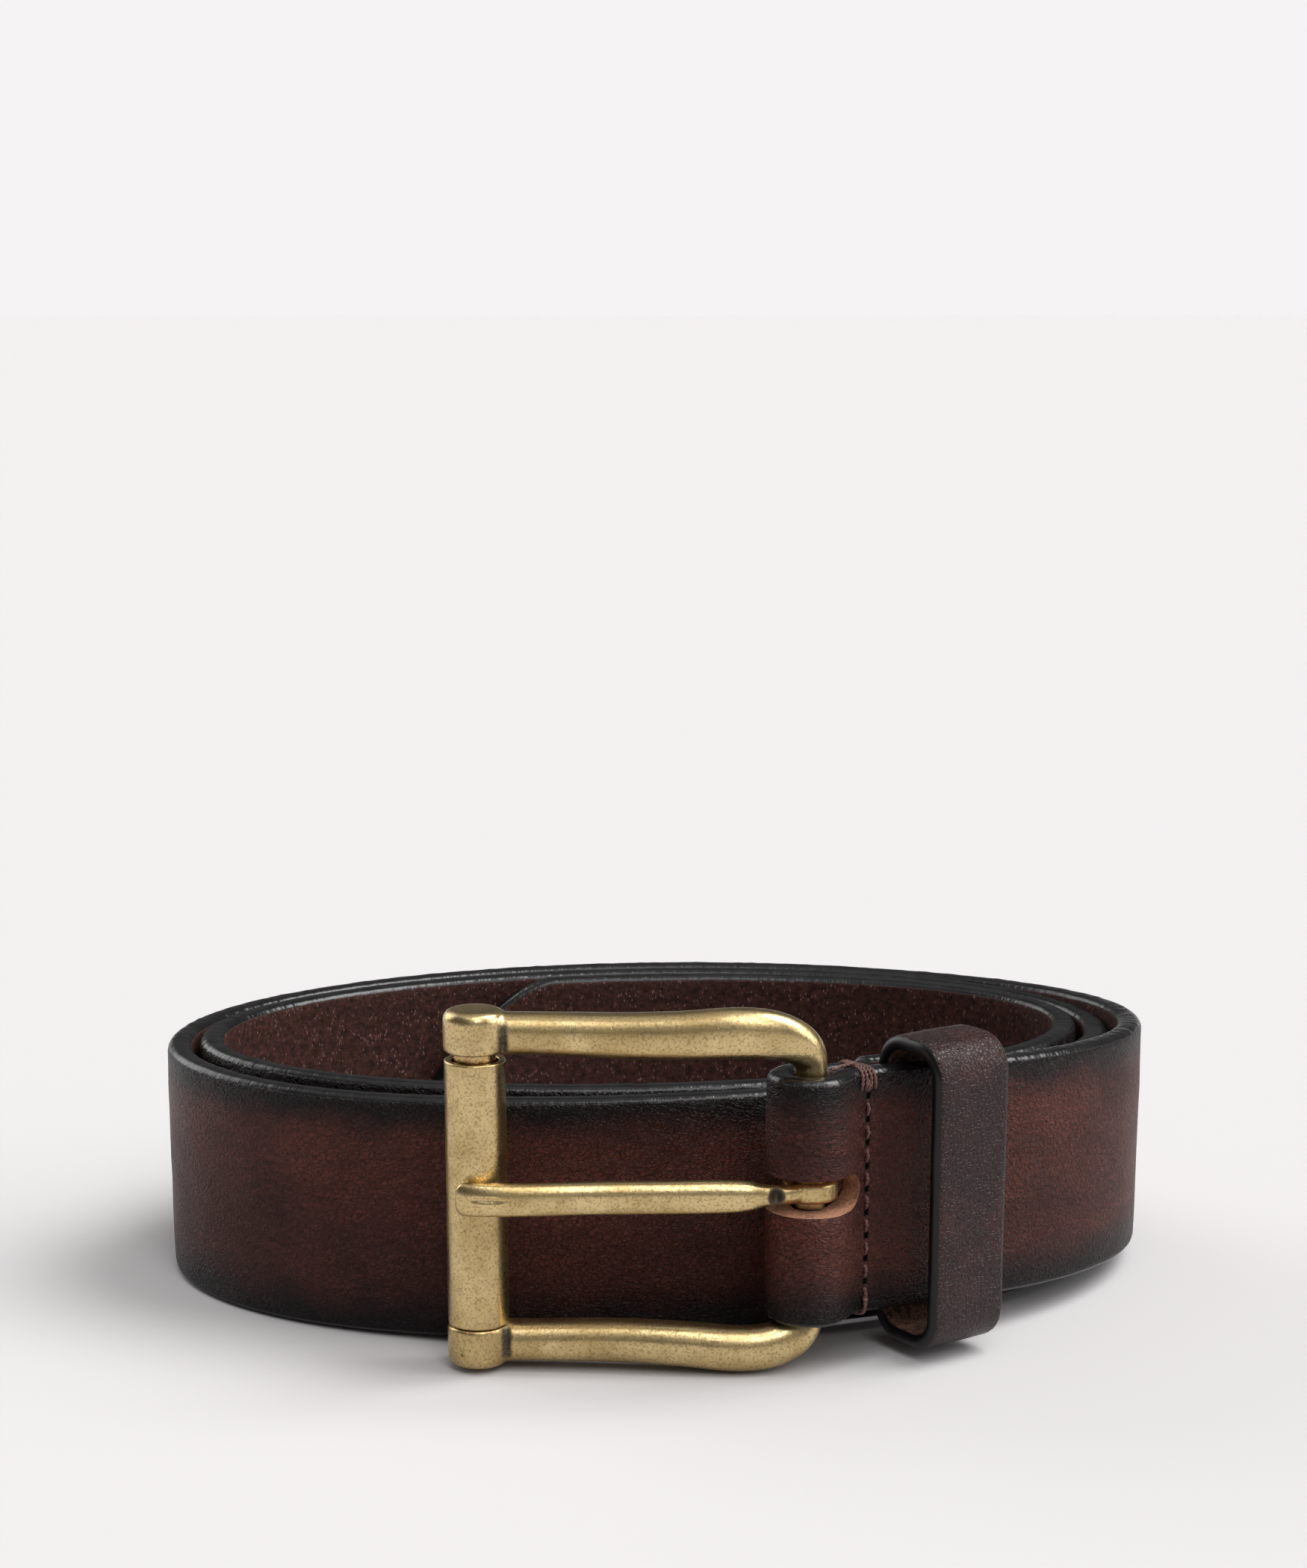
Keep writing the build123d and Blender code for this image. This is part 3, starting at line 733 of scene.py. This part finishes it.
def twisted(path):
    """Two strands laid round each other along a path."""
    dense = []
    for a, b in zip(path, path[1:]):
        pieces = max(1, ceil((b - a).length / 0.22))
        dense += [a.lerp(b, k / pieces) for k in range(pieces)]
    dense.append(path[-1])
    strands = ([], [])
    travelled = 0.0
    normal = None
    for i, point in enumerate(dense):
        ahead = (dense[min(i + 1, len(dense) - 1)] - dense[max(i - 1, 0)]).normalized()
        if normal is None:
            normal = ahead.orthogonal().normalized()
        normal = (normal - ahead * normal.dot(ahead)).normalized()
        side = ahead.cross(normal)
        if i:
            travelled += (point - dense[i - 1]).length
        for strand, phase in zip(strands, (0.0, pi)):
            angle = 2 * pi * TURNS_PER_MM * travelled + phase
            strand.append(point + (normal * cos(angle) + side * sin(angle)) * THREAD_RADIUS * 0.42)
    return list(strands)


def stitch_path(row, z, face, outwards):
    """A short stitch that rises out of the leather and dips back in."""
    points = []
    for k in range(9):
        share = k / 8
        bulge = sin(pi * share) * 0.45 - 0.25
        points.append(from_run(row, face + outwards * bulge, z - 0.55 + 2.0 * share))
    return points


def wrap_path(row, edge_z, up, lean):
    """Thread over one edge of the strap, from front to back."""
    front = -STRAP_THICK - 0.12
    back = TURNBACK_THICK + 0.12
    top = edge_z + up * 0.12
    corners = [
        (row + lean, front + 0.3, edge_z - up * 3.1), (row + lean, front - 0.05, edge_z - up * 2.4),
        (row + lean * 0.8, front, edge_z - up * 1.1), (row + lean * 0.6, front + 0.55, edge_z - up * 0.15),
        (row + lean * 0.4, front + 1.5, top), (row, -0.6, top), (row - lean * 0.3, back - 1.3, top),
        (row - lean * 0.4, back - 0.45, edge_z - up * 0.15), (row - lean * 0.5, back, edge_z - up * 1.0),
        (row - lean * 0.5, back - 0.3, edge_z - up * 2.6),
    ]
    return [from_run(u, v, z) for u, v, z in corners]


def stitch_row(name, row, leans, tail):
    """One row of stitches as a piece, standing for its plain solid."""
    strands = []
    for z in stitch_heights(row):
        strands += twisted(stitch_path(row, z, -STRAP_THICK, -1))
        strands += twisted(stitch_path(row, z, TURNBACK_THICK, 1))
    for lean in leans:
        strands += twisted(wrap_path(row + lean * 0.8, run_lift(row) + STRAP_WIDTH, 1, lean))
        strands += twisted(wrap_path(row + lean * 0.8, run_lift(row), -1, -lean))
    if tail:
        top = run_lift(row) + STRAP_WIDTH + 0.35
        spots = [(row - 0.4, -1.2, top), (row - 1.6, -1.7, top + 0.25), (row - 3.2, -1.6, top + 0.1),
                 (row - 4.6, -2.1, top), (row - 5.6, -2.0, top + 0.15)]
        strands += twisted([from_run(*spot) for spot in spots])
    mesh = tube_mesh(strands, THREAD_RADIUS * 0.62, 7)
    return make_object(name + "_thread", mesh, [THREAD], "strap", [name])


# ---------------------------------------------------------------- keeper
KEEPER_CROWN = 0.12
KEEPER_UNEVEN = 0.09
KEEPER_INSET = 0.08


def keeper_mesh():
    """A closed leather loop with rounded, painted edges and softly bent corners."""
    middle_z = run_lift(KEEPER_START + KEEPER_WIDTH / 2) + STRAP_WIDTH / 2
    middle_v = LEATHER_GAP + KEEPER_THICK - KEEPER_DEPTH / 2
    half = (KEEPER_DEPTH / 2 - KEEPER_THICK / 2, KEEPER_HEIGHT / 2 - KEEPER_THICK / 2)
    bend = KEEPER_CORNER - KEEPER_THICK / 2
    route = []
    corners = [(1, 1, 0), (-1, 1, 90), (-1, -1, 180), (1, -1, 270)]
    for side_v, side_z, first in corners:
        for k in range(9):
            angle = radians(first + 90 * k / 8)
            centre = Vector((side_v * (half[0] - bend), side_z * (half[1] - bend)))
            route.append((centre + Vector((cos(angle), sin(angle))) * bend, angle))
        going_down = side_v == -side_z
        length = 2 * (half[1] - bend) if going_down else 2 * (half[0] - bend)
        pieces = ceil(length / 1.5)
        angle = radians(first + 90)
        start = route[-1][0]
        direction = Vector((-sin(angle), cos(angle)))
        for k in range(1, pieces):
            route.append((start + direction * (length * k / pieces), angle))
    rings = []
    side_uv = []
    for spot, angle in route:
        outward = Vector((cos(angle), sin(angle)))
        section = rounded_section(KEEPER_THICK, 0.0, KEEPER_WIDTH, 7)
        ring = []
        for offset, along in section:
            spread = offset - KEEPER_INSET
            if offset > 0:
                spread += KEEPER_CROWN * (1 - (2 * along / KEEPER_WIDTH - 1) ** 2)
            if abs(along / KEEPER_WIDTH - 0.5) < 0.45:
                spread += KEEPER_UNEVEN * noise.noise(Vector((spot.x * 0.2, spot.y * 0.2, along * 0.2)))
            place = spot + outward * spread
            ring.append(from_run(KEEPER_START + along, middle_v + place.x, middle_z + place.y))
        rings.append(ring)
        side_uv.append([(offset / KEEPER_THICK + 0.5, 0.0) for offset, _ in section])
    return loft_rings(rings, {"Side": side_uv}, closed=True)


# ---------------------------------------------------------------- buckle
# Upper arm, from the boss to the heel bar: along, forward, up, half height and half depth of the section.
ARM_ROUTE = [
    (-47.0, 0.0, 23.75, 3.15, 3.2), (-42.5, -0.15, 23.75, 3.1, 3.2), (-36.0, -0.4, 23.65, 3.2, 3.25),
    (-28.0, -0.95, 23.55, 3.35, 3.3), (-19.0, -1.9, 23.8, 3.55, 3.3), (-11.0, -2.5, 24.3, 3.75, 3.2),
    (-5.8, -2.2, 23.9, 3.6, 3.0), (-2.1, -1.2, 22.4, 3.15, 2.8), (-0.4, -0.2, 20.2, 2.7, 2.6),
    (0.0, 0.0, 17.5, 2.27, 2.27), (0.0, 0.0, 8.0, 2.25, 2.25), (0.0, 0.0, -1.0, 2.25, 2.25),
]
ARM_HALF = 3.15
LOWER_FLARE = 0.5           # the lower arm flares less
# Boss profile: radius, height from the buckle's middle.
BOSS_PROFILE = [
    (0.0, 21.0), (4.25, 21.0), (4.6, 21.2), (4.68, 21.8), (4.68, 25.6), (4.6, 26.3), (4.2, 27.0), (3.4, 27.35),
    (2.0, 27.45), (0.0, 27.5),
]
# Prong: along, forward, half height, half thickness.
PRONG_ROUTE = [
    (-1.4, -3.1, 1.45, 1.05), (-5.0, -3.75, 1.45, 1.3), (-7.0, -4.0, 1.7, 1.5), (-9.2, -4.3, 2.25, 1.8),
    (-13.0, -4.6, 2.5, 1.85), (-22.0, -5.0, 2.5, 1.85), (-32.0, -5.4, 2.5, 1.8), (-41.0, -6.2, 2.5, 1.7),
    (-46.5, -6.35, 2.55, 1.6), (-49.8, -6.15, 2.6, 1.4), (-51.6, -5.85, 2.35, 1.1), (-52.2, -5.7, 1.6, 0.6),
]
SQUARENESS = 2.35


def curve_samples(route, step):
    """Points of a smooth curve through rows of numbers, evenly spaced by the first three."""
    rows = [[float(value) for value in row] for row in route]
    samples = []
    for index in range(len(rows) - 1):
        around = [rows[min(max(index + k, 0), len(rows) - 1)] for k in (-1, 0, 1, 2)]
        length = (Vector(around[2][:3]) - Vector(around[1][:3])).length
        pieces = max(1, ceil(length / step))
        for piece in range(pieces):
            t = piece / pieces
            samples.append([catmull(*column, t) for column in zip(*around)])
    samples.append(rows[-1])
    return samples


def add_bar(bm, samples, flip, sides=24):
    """A bar of squarish oval sections along samples of (along, forward, up, half size, half depth).

    flip is 1 for the upper side of the buckle and -1 for its mirror image below.
    """
    rings = []
    for index, (x, y, z, half_size, half_depth) in enumerate(samples):
        before = Vector(samples[max(index - 1, 0)][:3])
        after = Vector(samples[min(index + 1, len(samples) - 1)][:3])
        ahead = (after - before).normalized()
        depth_axis = Vector((0, 1, 0))
        depth_axis = (depth_axis - ahead * depth_axis.dot(ahead)).normalized()
        size_axis = ahead.cross(depth_axis)
        ring = []
        for k in range(sides):
            c, d = cos(2 * pi * k / sides), sin(2 * pi * k / sides)
            size = half_size * abs(c) ** (2 / SQUARENESS) * (1 if c >= 0 else -1)
            depth = half_depth * abs(d) ** (2 / SQUARENESS) * (1 if d >= 0 else -1)
            spot = Vector((x, y, z)) + size_axis * size + depth_axis * depth
            ring.append(bm.verts.new((HEEL.x + spot.x, HEEL.y + spot.y, BUCKLE_Z + flip * spot.z)))
        rings.append(ring)
    for a, b in zip(rings, rings[1:]):
        for k in range(sides):
            n = (k + 1) % sides
            bm.faces.new((a[k], a[n], b[n], b[k]))
    bm.faces.new(rings[0])
    bm.faces.new(rings[-1])


def add_lathe(bm, profile, centre, flip=1, sides=40):
    """A turned solid round an upright axis, from a profile that starts and ends on the axis."""
    rings = []
    for radius, z in profile:
        height = centre.z + flip * z
        if radius == 0.0:
            rings.append([bm.verts.new((centre.x, centre.y, height))])
        else:
            spots = [(centre.x + radius * cos(2 * pi * k / sides), centre.y + radius * sin(2 * pi * k / sides))
                     for k in range(sides)]
            rings.append([bm.verts.new((x, y, height)) for x, y in spots])
    for a, b in zip(rings, rings[1:]):
        for k in range(sides):
            n = (k + 1) % sides
            corners = [a[0]] if len(a) == 1 else [a[k], a[n]]
            corners += [b[0]] if len(b) == 1 else [b[n], b[k]]
            bm.faces.new(corners)


def cast(bm, voxel, smoothing):
    """Joins overlapping closed forms into one smooth casting, still in millimetres."""
    bmesh.ops.recalc_face_normals(bm, faces=bm.faces[:])
    rough = bpy.data.meshes.new("rough")
    bm.to_mesh(rough)
    bm.free()
    model = bpy.data.objects.new("rough", rough)
    bpy.context.scene.collection.objects.link(model)
    remesh = model.modifiers.new("join", "REMESH")
    remesh.mode = "VOXEL"
    remesh.voxel_size = voxel
    smooth = model.modifiers.new("soften", "SMOOTH")
    smooth.factor = 0.5
    smooth.iterations = smoothing
    bpy.context.view_layer.update()
    depsgraph = bpy.context.evaluated_depsgraph_get()
    mesh = bpy.data.meshes.new_from_object(model.evaluated_get(depsgraph))
    bpy.data.objects.remove(model)
    bpy.data.meshes.remove(rough)
    return mesh


def dent(mesh, centre, half_sizes, depth):
    """Pushes a smooth hollow into the front of a casting still in millimetres."""
    for vertex in mesh.vertices:
        away = [(vertex.co[k] - centre[k]) / half_sizes[k] for k in range(3)]
        distance = sqrt(sum(value * value for value in away))
        if distance < 1.0:
            vertex.co.y += depth * (1 - distance * distance) ** 2


def to_metres(mesh):
    """Turns a mesh made in millimetres into metres."""
    mesh.transform(Matrix.Scale(MM, 4))
    return mesh


def frame_mesh():
    """The buckle's frame: two bosses, two flared arms and the heel bar, cast in one."""
    bm = bmesh.new()
    boss_centre = Vector((HEEL.x - BAR_SPACING, HEEL.y, BUCKLE_Z))
    arm = curve_samples(ARM_ROUTE, 0.9)
    for flip in (1, -1):
        flare = 1.0 if flip > 0 else LOWER_FLARE
        sized = [(x, y, z, ARM_HALF + (size - ARM_HALF) * (flare if size > ARM_HALF else 1.0), depth)
                 for x, y, z, size, depth in arm]
        add_bar(bm, sized, flip)
        add_lathe(bm, BOSS_PROFILE, boss_centre, flip)
    mesh = cast(bm, 0.3, 3)
    for flip in (1, -1):
        groove = (HEEL.x - BAR_SPACING + GROOVE_FROM_PIN, HEEL.y - 3.2, BUCKLE_Z + flip * GROOVE_HEIGHT)
        dent(mesh, groove, (0.65, 2.4, 2.7), 0.75)
    dent(mesh, (HEEL.x - BAR_SPACING - 2.3, HEEL.y - 4.2, BUCKLE_Z - 24.6), (0.45, 1.5, 0.45), 0.4)
    return to_metres(mesh)


def prong_mesh():
    """The prong: a solid eye on the heel bar's axis and a flat-oval tongue with a rounded end."""
    bm = bmesh.new()
    axis = Vector((HEEL.x, HEEL.y, BUCKLE_Z))
    add_bar(bm, curve_samples([(x, y, 0.0, size, depth) for x, y, size, depth in PRONG_ROUTE], 0.5), 1)
    add_lathe(bm, [(0.0, -1.55), (3.8, -1.55), (4.2, -1.2), (4.2, 1.2), (3.8, 1.55), (0.0, 1.55)], axis)
    mesh = cast(bm, 0.22, 3)
    dent(mesh, (HEEL.x - PIT_BEFORE_HEEL, HEEL.y - 5.2, BUCKLE_Z), (1.25, 2.0, 1.45), 1.25)
    dent(mesh, (HEEL.x - 47.5, HEEL.y - 7.9, BUCKLE_Z + 0.3), (3.6, 1.2, 0.5), 0.35)
    return to_metres(mesh)


# ---------------------------------------------------------------- materials and pieces
LEATHER = strap_leather()
RAW = raw_leather()
KEEPER_SKIN = keeper_leather()
THREAD = thread()
HOLE_SHADE = painted_hole_shade()
BRASS = brass("antique_brass", rgb(0.66, 0.505, 0.255), rgb(0.50, 0.365, 0.165), 0.30)
PIN_BRASS = brass("pin_brass", rgb(0.60, 0.42, 0.19), rgb(0.42, 0.28, 0.12), 0.26)
STEEL = steel()

strap_skins = [LEATHER, RAW, HOLE_SHADE]
strap = make_object("strap_leather_strip", strap_mesh(), strap_skins, "strap", ["strap"])
cut(strap, slot_and_hole_cutters(), 1)
# The awl holes' walls get the near-black painted shade.
cut(strap, awl_cutters(), 2)

stitch_row("stitch_row_at_fold", ROW_NEAR, (-0.7, -0.25, 0.25, 0.7), True)
stitch_row("stitch_row_past_keeper", ROW_FAR, (0.0,), False)
make_object("keeper_loop_leather", keeper_mesh(), [KEEPER_SKIN], "keeper", ["keeper_loop"])

make_object("buckle_frame_casting", frame_mesh(), [BRASS], "buckle", ["buckle_frame"])
make_object("prong_casting", prong_mesh(), [BRASS], "prong", ["prong"])

for node, material in (("roller", BRASS), ("roller_pin", PIN_BRASS), ("keeper_staple", STEEL)):
    found = bpy.data.objects[node]
    found.data.materials.clear()
    found.data.materials.append(material)


# ---------------------------------------------------------------- floor, light and camera
FLOOR_COLOUR = rgb(0.553, 0.542, 0.548)
BACKGROUND = rgb(0.913, 0.896, 0.905)
# Soft boxes: azimuth from the front towards the right, elevation, outer and inner radius, strength.
SOFT_BOXES = [
    (98, 56, 24, 12, 8.5),
    (82, 22, 24, 12, 3.4),
    (-128, 25, 30, 12, 2.3),
    (12, 66, 20, 8, 2.6),
    (0, 88, 50, 20, 0.5),
    (14, 36, 34, 12, 0.4),
    (20, 42, 13, 6, 5.5),
]
SURROUNDING = 0.11


def make_floor():
    """A plain pale floor that runs out to the horizon."""
    mesh = bpy.data.meshes.new("floor")
    reach = 40.0
    corners = [(-reach, -reach, 0), (reach, -reach, 0), (reach, reach, 0), (-reach, reach, 0)]
    mesh.from_pydata(corners, [], [(0, 1, 2, 3)])
    floor = bpy.data.objects.new("floor", mesh)
    bpy.context.scene.collection.objects.link(floor)
    s = Shading("floor_paper")
    s.surface(Base_Color=FLOOR_COLOUR, Roughness=0.9, Specular_IOR_Level=0.0)
    mesh.materials.append(s.material)
    floor.location.z = cad_low[2] - 0.0002


def make_world():
    """Even surrounding light with soft boxes in it, seen by the camera as a plain background."""
    world = bpy.data.worlds.new("studio")
    bpy.context.scene.world = world
    world.use_nodes = True
    tree = world.node_tree
    tree.nodes.clear()
    direction = tree.nodes.new("ShaderNodeTexCoord").outputs["Generated"]

    def add(kind, **settings):
        made = tree.nodes.new(kind)
        for key, value in settings.items():
            setattr(made, key, value)
        return made

    total = None
    for azimuth, elevation, outer, inner, strength in SOFT_BOXES:
        turn, rise = radians(azimuth), radians(elevation)
        aim = (sin(turn) * cos(rise), -cos(turn) * cos(rise), sin(rise))
        dot = add("ShaderNodeVectorMath", operation="DOT_PRODUCT")
        tree.links.new(direction, dot.inputs[0])
        dot.inputs[1].default_value = aim
        ramp = add("ShaderNodeMapRange", interpolation_type="SMOOTHSTEP")
        tree.links.new(dot.outputs["Value"], ramp.inputs["Value"])
        ramp.inputs["From Min"].default_value = cos(radians(outer))
        ramp.inputs["From Max"].default_value = cos(radians(inner))
        ramp.inputs["To Max"].default_value = strength
        if total is None:
            total = ramp.outputs[0]
        else:
            plus = add("ShaderNodeMath", operation="ADD")
            tree.links.new(total, plus.inputs[0])
            tree.links.new(ramp.outputs[0], plus.inputs[1])
            total = plus.outputs[0]
    plus = add("ShaderNodeMath", operation="ADD")
    tree.links.new(total, plus.inputs[0])
    plus.inputs[1].default_value = SURROUNDING
    lit = add("ShaderNodeBackground")
    lit.inputs["Color"].default_value = rgb(1.0, 0.99, 0.985)
    tree.links.new(plus.outputs[0], lit.inputs["Strength"])
    seen = add("ShaderNodeBackground")
    seen.inputs["Color"].default_value = BACKGROUND
    path = add("ShaderNodeLightPath")
    mix = add("ShaderNodeMixShader")
    tree.links.new(path.outputs["Is Camera Ray"], mix.inputs[0])
    tree.links.new(lit.outputs[0], mix.inputs[1])
    tree.links.new(seen.outputs[0], mix.inputs[2])
    output = add("ShaderNodeOutputWorld")
    tree.links.new(mix.outputs[0], output.inputs["Surface"])


def make_camera():
    """Camera a little above the belt, looking slightly down at the buckle side."""
    camera_data = bpy.data.cameras.new("camera")
    camera_data.lens = 68.57
    camera_data.sensor_width = 36.0
    camera_data.shift_y = 0.1667
    camera_data.clip_start = 0.01
    camera_data.clip_end = 200.0
    camera = bpy.data.objects.new("camera", camera_data)
    camera.location = (-0.00054, -0.4779, 0.1553)
    camera.rotation_euler = (radians(76.07), 0.0, 0.0)
    bpy.context.scene.collection.objects.link(camera)
    bpy.context.scene.camera = camera


make_floor()
make_world()
make_camera()
bpy.context.scene.view_settings.view_transform = "Standard"
